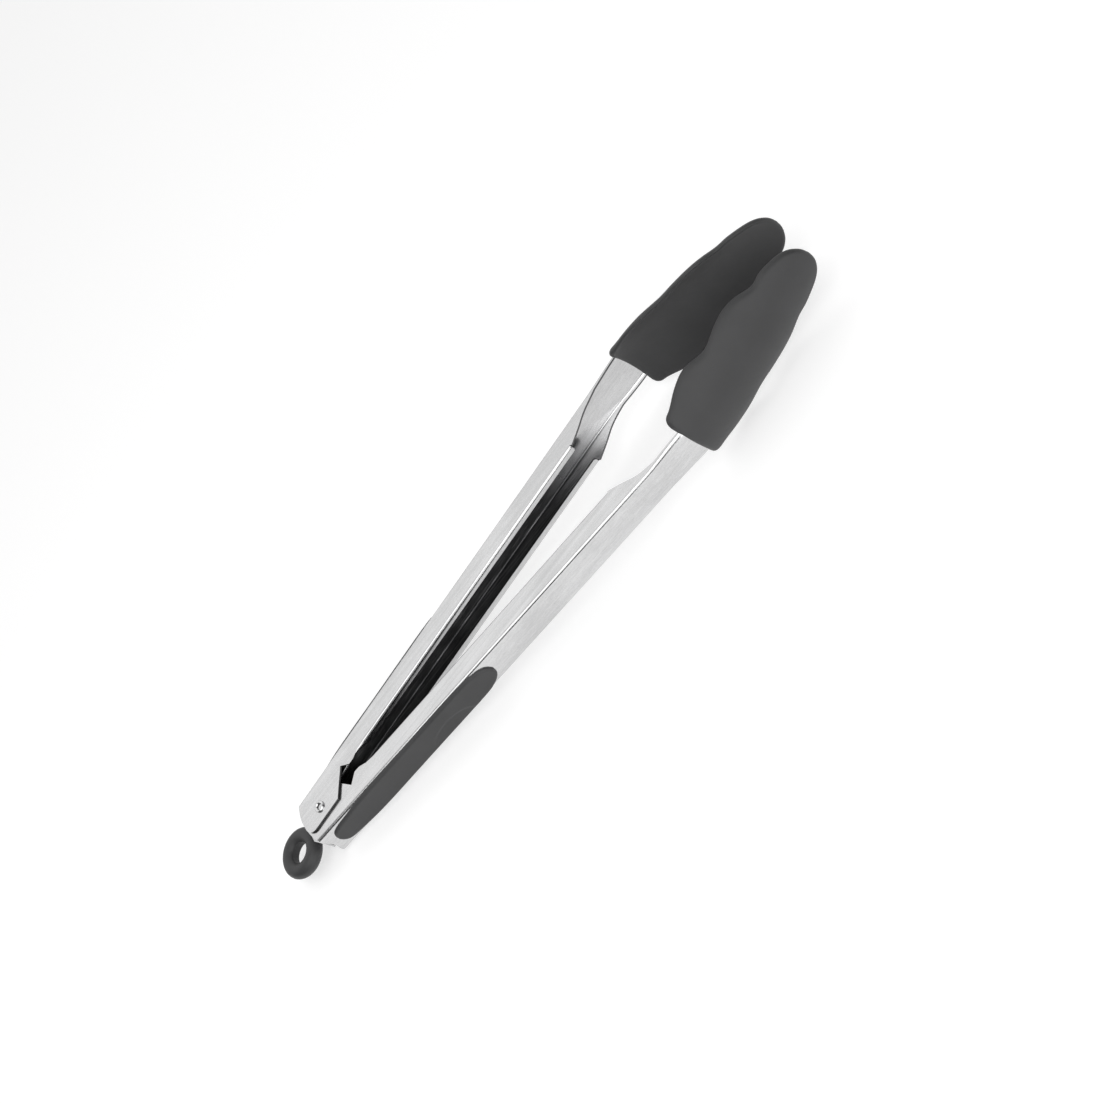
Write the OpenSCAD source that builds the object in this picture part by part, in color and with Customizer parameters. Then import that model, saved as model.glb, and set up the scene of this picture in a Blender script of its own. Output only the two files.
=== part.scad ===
// Spring loaded kitchen tongs, twelve inch class, lying on their side.
// The rivet's axis is Z and the origin is its middle. +X runs towards the heads, midway between the arms.
// The outer arm lies towards +Y and its cheeks hold the inner arm's cheeks between them.
// Each arm is drawn in its own frame: X along the arm, Y out through its spine, Z across it.

/* [Overall] */
// Length of an arm from the rivet to the head cover
shank_len = 218; // [190:1:240]
// Length of a head cover along the arm
head_len = 80; // [68:1:92]
// Angle of each arm from the middle plane at rest
half_angle = 4.4; // [3.7:0.1:5.4]

/* [Arms] */
// Outside width of the outer arm's channel
channel_w = 17; // [16:0.5:21]
// Thickness of the sheet steel
sheet_t = 0.8; // [0.7:0.05:1]
// Distance from the rivet's axis to the spine's outer face
spine_off = 11.8; // [11.2:0.1:13]
// Outside radius of the bends between spine and cheeks
bend_r = 1.6; // [1.3:0.1:2]
// Distance from the rivet's axis to the cheeks' free edges along the arm
edge_off = 1.6; // [1.3:0.1:2]
// Width of the lips that turn in from the free edges
lip_w = 3; // [2.5:0.1:3.5]
// Where the lips begin, from the rivet
lip_start = 25; // [23:1:30]
// Length of the neck, from the lips' end to the head cover
neck_len = 37; // [32:1:44]
// Side clearance between the nested cheeks
nest_gap = 0.15; // [0.12:0.01:0.2]

/* [Pivot end] */
// Reach of the spines behind the rivet
tail_len = 9; // [8:0.5:9.5]
// Reach of the cheeks behind the rivet
cheek_tail = 11.2; // [10.5:0.1:12]
// Depth of the cheeks' ears past the rivet's axis
ear_depth = 6; // [5:0.1:6.5]
// Depth of the notch in front of the ears
notch_depth = 4.2; // [3.6:0.1:5]
// Where the notch is deepest, from the rivet
notch_x = 18.2; // [17:0.1:19]

/* [Rivet] */
// Radius of the rivet's shank
rivet_r = 2; // [1.8:0.05:2.3]
// Radius of the bore right through the rivet
rivet_bore_r = 1.1; // [0.9:0.05:1.3]
// Reach of the rolled heads past the shank
rivet_lip = 0.5; // [0.4:0.05:0.9]
// Height of the rolled heads
rivet_head_h = 0.8; // [0.6:0.05:1]
// Radial clearance of the rivet in its holes
rivet_gap = 0.05; // [0.02:0.01:0.09]

/* [Spring] */
// Radius of the spring wire
wire_r = 0.65; // [0.5:0.05:0.7]
// Mean radius of the spring's coil
coil_r = 4.2; // [3.8:0.1:4.5]
// Turns in the coil
coil_turns = 4.5; // [3.5:1:4.5]
// Length of the spring's legs along the arms
leg_len = 36; // [28:1:42]

/* [Lock] */
// Side clearance of the lock bar inside the inner arm
lock_gap = 1.3; // [1:0.05:1.4]
// Half height of the lock bar's plates beside the rivet
lock_h = 3.8; // [3.2:0.1:4.2]
// Half height of the lock bar's shoulders
shoulder_h = 7; // [5.5:0.1:7]
// Travel of the lock from pulled out to pushed in
lock_travel = 4; // [3:0.1:4]
// Distance of the lock bar's web behind the rivet
web_x = 12.1; // [12.1:0.1:12.6]

/* [Pull ring] */
// Bare length of tongue between the lock bar's web and the ring
ring_gap = 1; // [0.5:0.1:2]
// Radius of the circle that the ring's tube follows
ring_r = 7.5; // [7:0.1:8]
// Radius of the ring's tube
ring_tube_r = 3.4; // [3:0.1:3.4]
// Radius of the ring's hanging hole
hang_r = 4.5; // [4.4:0.1:5]

/* [Grips] */
// Length of a grip
grip_len = 101; // [85:1:115]
// Where a grip begins, behind the rivet
grip_back = 3.5; // [1:0.5:5]
// Height of a grip above the spine
grip_t = 1.2; // [1:0.1:1.5]

/* [Heads] */
// Half width of a head cover at its first lobe
head_half_w = 18.5; // [16:0.1:21]
// Radius of the head's curve across its width
dish_r = 29; // [27:1:36]
// Radius of the head's curve along its length
bow_r = 550; // [450:10:700]
// Angle at which the head leans in from the arm
lean = 11.8; // [10:0.1:12.5]
// Thickness of silicone on each side of the steel
skin_t = 1; // [0.9:0.1:1.4]
// How far the steel blade stays inside the cover's edge
blade_inset = 3.5; // [3:0.1:5]

/* [Hidden] */

$fn = 64;
outline_steps = 6;
cut = 1;
inner_w = channel_w - 2 * (sheet_t + nest_gap);
leg_gap = 0.3;
knuckle_x = shank_len - neck_len;
sweep_len = 22;
rivet_head_r = rivet_r + rivet_lip;
lock_w = inner_w - 2 * (sheet_t + lock_gap);
ring_x = web_x + ring_gap + ring_tube_r + ring_r;
wire_sides = 10;
coil_steps = 20;
ear_corner = 2;
ear_front = notch_x - 9;
ear_step = notch_x - 5.6;
lip_ramp = 5;
spare_turn = 0.3;
plate_past = 0.6;
shoulder_len = 2;
tongue_len = 5.6;
tongue_h = 2.6;
pitch = 2 * wire_r + 0.1;
coil_h = coil_turns * pitch;
leg_y = spine_off - sheet_t - wire_r - leg_gap;
leg_turn = atan2(leg_y - coil_r, leg_len);
start_a = 90 + half_angle + leg_turn;
end_a = 90 + 360 * coil_turns - half_angle - leg_turn;
steel = [0.8, 0.81, 0.82];
dark_silicone = [0.3, 0.3, 0.31];

// A smooth curve through points: the point at fraction t between p1 and p2.
function through(p0, p1, p2, p3, t) =
  0.5 * (2 * p1 + (p2 - p0) * t + (2 * p0 - 5 * p1 + 4 * p2 - p3) * t * t
         + (3 * p1 - p0 - 3 * p2 + p3) * t * t * t);

function at(points, i) = points[max(0, min(len(points) - 1, i))];

function smooth(points, steps) = [
  for (i = [0 : len(points) - 2])
    for (k = [0 : steps - 1])
      through(at(points, i - 1), points[i], at(points, i + 1), at(points, i + 2), k / steps),
  points[len(points) - 1]
];

function flip(points) = [for (i = [len(points) - 1 : -1 : 0]) [points[i][0], -points[i][1]]];

// Half of a head's outline, as shares of its length and of its half width: three lobes to a round tip.
head_lobes = [[0, 0.8], [0.06, 0.83], [0.16, 0.955], [0.26, 1], [0.38, 0.88], [0.48, 0.935], [0.57, 0.955],
              [0.65, 0.89], [0.735, 0.735], [0.8, 0.73], [0.86, 0.67], [0.92, 0.575], [0.96, 0.445],
              [0.985, 0.285], [0.996, 0.15], [1, 0]];

function head_half(inset) = [
  for (p = head_lobes) [p[0] * (head_len - inset), max(0, p[1] * head_half_w - inset * (p[0] < 1 ? 1 : 0))]
];

module head_outline(inset) {
  half = smooth(head_half(inset), outline_steps);
  polygon(concat(half, flip(half)));
}

// A dished and bowed shell between two depths under the head's back, in the arm's frame.
module head_shell(above, below, inset) {
  bow_turn = asin(head_len / bow_r) + spare_turn;
  translate([shank_len, spine_off, 0]) rotate([0, 0, -lean])
    intersection() {
      translate([0, -bow_r, 0]) rotate([0, 0, 90 - bow_turn]) rotate_extrude(angle = bow_turn + spare_turn)
          intersection() {
            difference() {
              translate([bow_r - dish_r, 0]) circle(dish_r + above);
              translate([bow_r - dish_r, 0]) circle(dish_r - below);
            }
            translate([bow_r - dish_r, -head_half_w - cut]) square([2 * dish_r, 2 * (head_half_w + cut)]);
          }
      translate([0, cut + above, 0]) rotate([90, 0, 0])
        linear_extrude(3 * head_half_w) head_outline(inset);
    }
}

module blade() { head_shell(0, sheet_t, blade_inset); }

// Closed section of the channel, rounded at the spine, from the ears' edge to the spine.
module channel_section(w, shrink) {
  r = bend_r - shrink;
  top = spine_off - shrink;
  half = w / 2 - shrink;
  translate([-ear_depth - cut, -half]) square([top - r + ear_depth + cut, 2 * half]);
  translate([-ear_depth - cut, r - half]) square([top + ear_depth + cut, 2 * (half - r)]);
  for (side = [-1, 1])
    translate([top - r, side * (half - r)]) circle(r);
}

module along_arm(from, to) {
  translate([from, 0, 0]) rotate([90, 0, 90]) linear_extrude(to - from) children();
}

// Side view of the cheeks: round ears, the notch, the long free edge, then the sweep up to the head.
module side_profile() {
  sweep = [[0, edge_off], [0.28, edge_off + 2.6], [0.6, edge_off + 5.9], [1, edge_off + 8]];
  rise = [for (p = smooth(sweep, outline_steps)) [knuckle_x + p[0] * sweep_len, p[1]]];
  polygon(concat(
    [[-tail_len, spine_off + cut], [-cheek_tail, spine_off / 3], [-cheek_tail, 1 - ear_depth / 2],
     [ear_corner - cheek_tail, 1 - ear_depth], [2 * ear_corner - cheek_tail, -ear_depth],
     [ear_front, -ear_depth], [ear_step, -ear_depth / 3],
     [notch_x, notch_depth], [notch_x + 4, 0.5], [lip_start, 0.5], [lip_start + lip_ramp, edge_off]],
    rise, [[shank_len, edge_off + 8], [shank_len, spine_off + cut]]));
}

module arm(w) {
  difference() {
    union() {
      intersection() {
        difference() {
          along_arm(-cheek_tail, shank_len) channel_section(w, 0);
          along_arm(-cheek_tail - cut, shank_len + cut) channel_section(w, sheet_t);
        }
        translate([0, 0, -w]) linear_extrude(2 * w) side_profile();
      }
      for (side = [-1, 1])
        translate([lip_start + lip_ramp, edge_off, side * (w / 2 - lip_w / 2) - lip_w / 2])
          cube([knuckle_x - lip_start - lip_ramp, sheet_t, lip_w]);
      blade();
    }
    cylinder(r = rivet_r + rivet_gap, h = 2 * w, center = true);
  }
}

// Places a shape drawn in an arm's own frame: side 1 is the outer arm, side -1 the inner.
module on_arm(side) {
  rotate([0, 0, side * half_angle]) mirror([0, side < 0 ? 1 : 0, 0]) children();
}

module grip(w) {
  rise = w / 2 - 0.5;
  half = [[0, 0], [0.008, 0.38 * rise], [0.03, 0.66 * rise], [0.09, 0.82 * rise], [0.25, rise], [0.5, rise],
          [0.85, rise], [0.94, 0.85 * rise], [0.985, 0.5 * rise], [1, 0]];
  edge = smooth([for (p = half) [p[0] * grip_len - grip_back, p[1]]], outline_steps);
  difference() {
    translate([0, spine_off + grip_t, 0]) rotate([90, 0, 0])
      linear_extrude(grip_t + bend_r) polygon(concat(edge, flip(edge)));
    along_arm(-grip_back - cut, grip_len + cut) channel_section(w, 0);
  }
}

module head_cover() {
  difference() {
    head_shell(skin_t, sheet_t + skin_t, 0);
    blade();
  }
}

module outer_arm() { color(steel) on_arm(1) arm(channel_w); }

module inner_arm() { color(steel) on_arm(-1) arm(inner_w); }

module outer_grip() { color(dark_silicone) on_arm(1) grip(channel_w); }

module inner_grip() { color(dark_silicone) on_arm(-1) grip(inner_w); }

module outer_head_cover() { color(dark_silicone) on_arm(1) head_cover(); }

module inner_head_cover() { color(dark_silicone) on_arm(-1) head_cover(); }

// A hollow rivet with a rolled head on each outer cheek.
module pivot_rivet() {
  head_low = channel_w / 2 + rivet_gap;
  roll = rivet_head_h / 2;
  color(steel) rotate_extrude() difference() {
    union() {
      translate([0, -head_low - rivet_head_h]) square([rivet_r, 2 * (head_low + rivet_head_h)]);
      for (side = [-1, 1])
        translate([0, side * (head_low + roll)]) {
          translate([0, -roll]) square([rivet_head_r - roll, rivet_head_h]);
          translate([rivet_head_r - roll, 0]) circle(roll);
        }
    }
    translate([-cut, -channel_w]) square([rivet_bore_r + cut, 2 * channel_w]);
  }
}

// The spring: a coil round the rivet whose two legs lie along the inside of the spines.
function coil_point(a) = [coil_r * cos(a), coil_r * sin(a), coil_h * (0.5 - (a - 90) / (360 * coil_turns))];

function spring_path() = concat(
  [coil_point(start_a) + leg_len * [cos(start_a - 90), sin(start_a - 90), 0]],
  [for (i = [0 : coil_steps * coil_turns]) coil_point(start_a + (end_a - start_a) * i / (coil_steps * coil_turns))],
  [coil_point(end_a) + leg_len * [cos(end_a + 90), sin(end_a + 90), 0]]
);

module tube(path, r, sides) {
  n = len(path);
  rings = [
    for (i = [0 : n - 1])
      let (d = at(path, i + 1) - at(path, i - 1), t = d / norm(d), u0 = cross(t, [0, 0, 1]),
           u = u0 / norm(u0), v = cross(u, t))
        for (k = [0 : sides - 1])
          path[i] + r * (cos(360 * k / sides) * u + sin(360 * k / sides) * v)
  ];
  walls = [
    for (i = [0 : n - 2])
      for (k = [0 : sides - 1])
        let (m = (k + 1) % sides)
          [i * sides + k, i * sides + m, (i + 1) * sides + m, (i + 1) * sides + k]
  ];
  first = [for (k = [sides - 1 : -1 : 0]) k];
  last = [for (k = [0 : sides - 1]) (n - 1) * sides + k];
  polyhedron(rings, concat(walls, [first, last]));
}

module torsion_spring() { color(steel) tube(spring_path(), wire_r, wire_sides); }

// The lock: two slotted plates astride the rivet, a web with shoulders, and a tongue held in the ring.
module tongue() {
  translate([-web_x - tongue_len, -tongue_h, -sheet_t / 2]) cube([tongue_len, 2 * tongue_h, sheet_t]);
}

module lock_bar() {
  color(steel) {
    for (side = [-1, 1])
      translate([0, 0, side * (lock_w - sheet_t) / 2])
        difference() {
          translate([-web_x, 0, -sheet_t / 2]) linear_extrude(sheet_t) {
            translate([0, -lock_h]) square([web_x + rivet_r + plate_past, 2 * lock_h]);
            translate([web_x + rivet_r + plate_past, 0]) intersection() {
              circle(lock_h);
              translate([0, -lock_h]) square(2 * lock_h);
            }
            translate([0, -shoulder_h]) square([shoulder_len, 2 * shoulder_h]);
          }
          for (x = [-lock_travel, 0])
            translate([x, 0, 0]) cylinder(r = rivet_r + rivet_gap, h = lock_w, center = true);
          translate([-lock_travel, -rivet_r - rivet_gap, -lock_w / 2])
            cube([lock_travel, 2 * (rivet_r + rivet_gap), lock_w]);
        }
    translate([-web_x, -shoulder_h, -lock_w / 2]) cube([sheet_t, 2 * shoulder_h, lock_w]);
    tongue();
  }
}

// The silicone ring, with a short flat band round its hanging hole.
module pull_ring() {
  color(dark_silicone) difference() {
    translate([-ring_x, 0, 0]) difference() {
      rotate_extrude() translate([ring_r, 0]) circle(ring_tube_r);
      cylinder(r = hang_r, h = 3 * ring_tube_r, center = true);
    }
    tongue();
    translate([-web_x, -shoulder_h, -lock_w]) cube([2 * ring_x, 2 * shoulder_h, 2 * lock_w]);
  }
}

outer_arm();
inner_arm();
pivot_rivet();
torsion_spring();
lock_bar();
pull_ring();
outer_grip();
inner_grip();
outer_head_cover();
inner_head_cover();
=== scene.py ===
"""Spring loaded kitchen tongs: polished steel arms, silicone heads, grips and pull ring."""
import math

import bmesh
import bpy
from bpy.props import FloatProperty, FloatVectorProperty, PointerProperty
from mathutils import Matrix, Vector


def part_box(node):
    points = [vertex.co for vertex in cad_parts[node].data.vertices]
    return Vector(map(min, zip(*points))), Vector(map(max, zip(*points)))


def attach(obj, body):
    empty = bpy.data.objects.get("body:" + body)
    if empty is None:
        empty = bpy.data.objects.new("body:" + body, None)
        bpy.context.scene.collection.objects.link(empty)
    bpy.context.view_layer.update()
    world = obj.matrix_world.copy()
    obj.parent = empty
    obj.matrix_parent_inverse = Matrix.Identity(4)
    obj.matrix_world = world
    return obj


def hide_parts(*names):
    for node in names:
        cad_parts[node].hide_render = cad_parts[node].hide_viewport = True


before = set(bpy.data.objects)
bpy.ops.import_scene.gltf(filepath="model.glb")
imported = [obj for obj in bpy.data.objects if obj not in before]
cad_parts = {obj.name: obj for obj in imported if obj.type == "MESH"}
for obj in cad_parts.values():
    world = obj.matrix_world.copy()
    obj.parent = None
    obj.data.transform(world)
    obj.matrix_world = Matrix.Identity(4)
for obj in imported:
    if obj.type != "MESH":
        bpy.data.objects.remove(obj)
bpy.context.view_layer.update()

bl_info = {
    "name": "Kitchen Tongs",
    "version": (1, 0, 0),
    "blender": (4, 5, 0),
    "location": "View3D > Sidebar > Tongs",
    "description": "Builds the arms, silicone parts, rivet, spring and ring of locking kitchen tongs",
    "category": "Add Mesh",
}

MM = 0.001
OUTER = 1
INNER = -1
ARM_BODY = {OUTER: "outer_arm_body", INNER: "inner_arm_body"}
ARM_NAME = {OUTER: "outer", INNER: "inner"}


# ---------------------------------------------------------------- sizes a user would change

def length(name, text, default):
    return FloatProperty(name=name, description=text, default=default, unit="LENGTH", precision=5)


class ArmSizes(bpy.types.PropertyGroup):
    shank_len: length("Shank length", "From the rivet to the head cover", 218 * MM)
    half_angle: FloatProperty(
        name="Half angle", description="Angle of each arm from the middle plane",
        default=math.radians(4.4), subtype="ANGLE")
    outer_w: length("Outer width", "Outside width of the outer arm's channel", 17 * MM)
    inner_w: length("Inner width", "Outside width of the inner arm's channel", 15.1 * MM)
    sheet_t: length("Sheet", "Thickness of the steel sheet", 0.8 * MM)
    spine_off: length("Spine", "From the rivet's axis to the spine's outer face", 11.8 * MM)
    bend_r: length("Bend", "Outside radius of the bends beside the spine", 1.6 * MM)
    edge_off: length("Free edge", "From the rivet's axis to the cheeks' free edges", 1.6 * MM)
    lip_w: length("Lip width", "Width of the turned-in lips", 3 * MM)
    lip_r: length("Lip bend", "Outside radius of the lips' bends", 1.1 * MM)
    lip_start: length("Lip start", "Where the lips begin", 27 * MM)
    neck_len: length("Neck", "From the lips' end to the head cover", 37 * MM)
    tail_len: length("Spine tail", "Reach of the spine behind the rivet", 9 * MM)
    cheek_tail: length("Cheek tail", "Reach of the cheeks behind the rivet", 11.2 * MM)
    flare: length("Flare", "How much each side widens at the head", 0.9 * MM)


class HeadSizes(bpy.types.PropertyGroup):
    head_len: length("Head length", "Length of a head cover", 80 * MM)
    half_w: length("Half width", "Half width at the first lobe", 18.5 * MM)
    dish_r: length("Dish radius", "Radius of the curve across a head", 29 * MM)
    bow_r: length("Bow radius", "Radius of the curve along a head", 550 * MM)
    lean: FloatProperty(
        name="Lean", description="Angle at which a head leans in from its arm",
        default=math.radians(11.8), subtype="ANGLE")
    skin_t: length("Skin", "Silicone on each side of the steel", 1 * MM)
    blade_inset: length("Blade inset", "How far the blade stays inside the cover", 3.5 * MM)


class GripSizes(bpy.types.PropertyGroup):
    grip_len: length("Grip length", "Length of a grip", 101 * MM)
    grip_back: length("Grip start", "How far a grip starts behind the rivet", 3.5 * MM)
    grip_t: length("Grip height", "Height of a grip above the spine", 1.2 * MM)
    edge_r: length("Edge round", "Width of a grip's rounded edge", 1.5 * MM)


class PivotSizes(bpy.types.PropertyGroup):
    rivet_r: length("Rivet radius", "Radius of the rivet's shank", 2 * MM)
    bore_r: length("Bore radius", "Radius of the bore through the rivet", 1.1 * MM)
    head_r: length("Rivet head", "Radius of the rolled heads", 2.5 * MM)
    head_h: length("Rivet head height", "Height of the rolled heads", 0.8 * MM)
    wire_r: length("Wire radius", "Radius of the spring wire", 0.65 * MM)
    coil_r: length("Coil radius", "Mean radius of the spring", 4.2 * MM)
    coil_turns: FloatProperty(name="Turns", description="Turns in the spring", default=4.5)
    leg_len: length("Leg length", "Length of the spring's legs", 36 * MM)
    ring_r: length("Ring radius", "Radius of the circle the ring follows", 7.5 * MM)
    tube_r: length("Ring tube", "Radius of the ring's tube", 3.4 * MM)
    hang_r: length("Hanging hole", "Radius of the ring's hole", 4.5 * MM)


def colour(name, text, default):
    return FloatVectorProperty(name=name, description=text, default=default, size=3, subtype="COLOR",
                               min=0.0, max=1.0)


class Finishes(bpy.types.PropertyGroup):
    steel: colour("Steel", "Colour of the polished sheet", (0.645, 0.645, 0.648))
    # Painted shade: this colour darkens the inside of the channels and the rivet's bore to stand for the
    # shade that falls in them.
    inside: colour("Inside", "Colour of the shade_painted inside of the channels", (0.16, 0.16, 0.163))
    silicone: colour("Silicone", "Colour of the heads and grips", (0.035, 0.035, 0.036))
    ring: colour("Ring", "Colour of the pull ring", (0.034, 0.034, 0.035))
    floor: colour("Floor", "Colour of the floor", (0.58, 0.58, 0.58))


class StageSettings(bpy.types.PropertyGroup):
    azimuth: FloatProperty(name="Azimuth", description="Where the camera stands round the tongs",
                           default=math.radians(21.73), subtype="ANGLE")
    elevation: FloatProperty(name="Elevation", description="How high the camera stands",
                             default=math.radians(41.05), subtype="ANGLE")
    roll: FloatProperty(name="Roll", description="Turn of the camera round its own axis",
                        default=math.radians(-66.127), subtype="ANGLE")
    distance: length("Distance", "From the camera to the point it looks at", 773.05 * MM)
    lens: FloatProperty(name="Lens", description="Focal length for a 36 mm sensor", default=64.885)
    aim: FloatVectorProperty(name="Aim", description="The point the camera looks at",
                             default=(143.21 * MM, -1.41 * MM, -2.87 * MM), size=3, subtype="XYZ")


class TongsSettings(bpy.types.PropertyGroup):
    arms: PointerProperty(type=ArmSizes)
    heads: PointerProperty(type=HeadSizes)
    grips: PointerProperty(type=GripSizes)
    pivot: PointerProperty(type=PivotSizes)
    finishes: PointerProperty(type=Finishes)
    stage: PointerProperty(type=StageSettings)


# ---------------------------------------------------------------- shader maths

class Value:
    """A shader socket that Python's operators can work on."""

    def __init__(self, shade, socket):
        self.shade = shade
        self.socket = socket

    def _math(self, operation, *others):
        inputs = {i: v for i, v in enumerate((self, *others))}
        return self.shade.node("ShaderNodeMath", {"operation": operation}, inputs)

    def __add__(self, other):
        return self._math("ADD", other)

    __radd__ = __add__

    def __mul__(self, other):
        return self._math("MULTIPLY", other)

    __rmul__ = __mul__

    def __sub__(self, other):
        return self._math("SUBTRACT", other)

    def __rsub__(self, other):
        return self * -1.0 + other

    def __truediv__(self, other):
        return self._math("DIVIDE", other)

    def __pow__(self, other):
        return self._math("POWER", other)

    def least(self, other):
        return self._math("MINIMUM", other)

    def most(self, other):
        return self._math("MAXIMUM", other)

    def rise(self, low, high):
        """0 below low, 1 above high, smooth between."""
        settings = {"interpolation_type": "SMOOTHSTEP"}
        return self.shade.node("ShaderNodeMapRange", settings, {"Value": self, 1: low, 2: high})


class Graph:
    """A node tree while it is written."""

    def __init__(self, tree):
        self.tree = tree
        self.tree.nodes.clear()

    def node(self, kind, settings=None, inputs=None, output=0):
        made = self.tree.nodes.new(kind)
        for key, value in (settings or {}).items():
            setattr(made, key, value)
        for key, value in (inputs or {}).items():
            if isinstance(value, Value):
                self.tree.links.new(value.socket, made.inputs[key])
            else:
                made.inputs[key].default_value = value
        return None if output is None else Value(self, made.outputs[output])


class Shade(Graph):
    """A material's node tree."""

    def __init__(self, name):
        self.material = bpy.data.materials.new(name)
        self.material.use_nodes = True
        super().__init__(self.material.node_tree)

    def place(self, scale=(1, 1, 1)):
        """Object coordinates, stretched."""
        spot = self.node("ShaderNodeTexCoord", output=3)
        return self.node("ShaderNodeMapping", None, {"Vector": spot, "Scale": scale})

    def axis(self, index):
        spot = self.node("ShaderNodeTexCoord", output=3)
        return self.node("ShaderNodeSeparateXYZ", None, {0: spot}, index)

    def noise(self, vector, scale, detail=3.0, roughness=0.55):
        inputs = {"Vector": vector, "Scale": scale, "Detail": detail, "Roughness": roughness}
        return self.node("ShaderNodeTexNoise", None, inputs)

    def mix(self, factor, first, second):
        """A colour between two colours."""
        return self.node("ShaderNodeMix", {"data_type": "RGBA"}, {0: factor, 6: first, 7: second}, 2)

    def bump(self, height, strength, distance):
        inputs = {"Height": height, "Strength": strength, "Distance": distance}
        return self.node("ShaderNodeBump", None, inputs)

    def finish(self, inputs):
        shader = self.node("ShaderNodeBsdfPrincipled", None, inputs)
        self.node("ShaderNodeOutputMaterial", None, {"Surface": shader}, None)
        return self.material


def rgba(colour_value, factor=1.0):
    return tuple(min(1.0, c * factor) for c in colour_value) + (1.0,)


# ---------------------------------------------------------------- finishes

def brushed(shade, fine, coarse):
    """Fine lines that run along the arms, between 0 and 1."""
    lines = shade.noise(shade.place((3, fine, fine)), 1.0, 2.0)
    bands = shade.noise(shade.place((8, coarse, coarse)), 1.0, 3.0)
    return lines * 0.6 + bands * 0.4


def polished_steel(look, name, shaded=False):
    """Stainless sheet, polished along its length; inside a channel it is rougher and darkened with painted
    shade, except where light gets in near the head.
    """
    shade = Shade(name)
    lines = brushed(shade, 3200, 500)
    smudge = shade.noise(shade.place((26, 60, 60)), 1.0, 4.0, 0.6)
    wear = shade.noise(shade.place((90, 420, 420)), 1.0, 5.0, 0.7)
    fleck = shade.noise(shade.place(), 1700.0, 3.0, 0.7)
    tone = (lines * 0.40 + smudge * 0.35 + fleck * 0.25).rise(0.36, 0.64)
    base = shade.mix(tone, rgba(look.steel, 0.84), rgba(look.steel, 1.08))
    rough = smudge.rise(0.35, 0.75) * 0.07 + lines * 0.08 + 0.12
    if shaded:
        # Painted shade inside a channel: the streaked inside colour everywhere except where open_neck lets
        # light in.
        neck = open_neck(shade)
        drawn = shade.noise(shade.place((2, 900, 900)), 1.0, 1.0).rise(0.60, 0.68)
        streaks = wear.rise(0.3, 0.8) * 0.5 + drawn * 0.5
        painted_shade = shade.mix(streaks, rgba(look.inside, 0.6), rgba(look.inside, 2.0))
        base = shade.mix(neck, painted_shade, base)
        rough = (1 - neck) * 0.22 + rough
    scratch = wear.rise(0.60, 0.72)
    normal = shade.bump(lines + scratch * 0.3, 0.11, 0.00006)
    return shade.finish({"Base Color": base, "Metallic": 1.0, "Roughness": rough, "Normal": normal})


def open_neck(shade):
    """1 where light gets into a channel near the head, further down its back than down its cheeks."""
    arms = settings().arms
    along_arm, across = shade.axis(0), shade.axis(2)
    wall = arms.inner_w / 2
    back = 1 - (across ** 2.0).rise((wall - 1.25 * MM) ** 2, (wall - 0.05 * MM) ** 2)
    cheeks_lit = along_arm.rise(arms.shank_len - 50 * MM, arms.shank_len - 22 * MM)
    back_lit = along_arm.rise(arms.shank_len - 68 * MM, arms.shank_len - 44 * MM)
    return cheeks_lit.most(back_lit * back)


def rolled_steel(look, name, factor, low, high, bore=0.0):
    """Bright metal of small turned or drawn pieces, with faint scuffs, and painted shade in and round a
    bore when bore is given.
    """
    shade = Shade(name)
    scuff = shade.noise(shade.place(), 900.0, 4.0, 0.65)
    grain = shade.noise(shade.place(), 5200.0, 2.0)
    base = shade.mix(scuff.rise(0.3, 0.7), rgba(look.steel, factor * 0.82), rgba(look.steel, factor))
    if bore:
        # Painted shade: near black inside the bore's radius, fading out a quarter beyond it.
        radius = (shade.axis(0) ** 2.0 + shade.axis(1) ** 2.0) ** 0.5
        base = shade.mix(radius.rise(bore, bore * 1.25), rgba(look.inside, 0.15), base)
    rough = scuff * (high - low) + low
    normal = shade.bump(grain * 0.5 + scuff * 0.5, 0.12, 0.00005)
    return shade.finish({"Base Color": base, "Metallic": 1.0, "Roughness": rough, "Normal": normal})


def moulded_silicone(name, tint, speckle=1.0):
    """Matte silicone rubber: a spark-eroded mould grain, soft cloudiness and a little dust."""
    shade = Shade(name)
    grain = shade.noise(shade.place(), 4200.0, 3.0, 0.6)
    cloud = shade.noise(shade.place(), 55.0, 3.0, 0.5)
    dust = shade.noise(shade.place(), 2300.0, 1.0).rise(0.70, 0.78)
    mottled = shade.mix(cloud.rise(0.3, 0.7), rgba(tint, 0.90), rgba(tint, 1.10))
    base = shade.mix(dust * 0.16 * speckle, mottled, rgba(tint, 2.6))
    rough = cloud * 0.10 + grain * 0.10 + 0.46
    normal = shade.bump(grain + cloud * 0.4, 0.22, 0.00012)
    return shade.finish({"Base Color": base, "Roughness": rough, "Specular IOR Level": 0.36,
                         "Coat Weight": 0.2, "Coat Roughness": 0.4, "Normal": normal})


# ---------------------------------------------------------------- mesh helpers

def settings():
    return bpy.context.scene.tongs


def ease(x, low, high):
    t = min(1.0, max(0.0, (x - low) / (high - low)))
    return t * t * (3 - 2 * t)


def along(points, x):
    """Straight-line interpolation of y at x through (x, y) points."""
    for (x0, y0), (x1, y1) in zip(points, points[1:]):
        if x <= x1:
            return y0 + (y1 - y0) * max(0.0, x - x0) / (x1 - x0)
    return points[-1][1]


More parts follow.
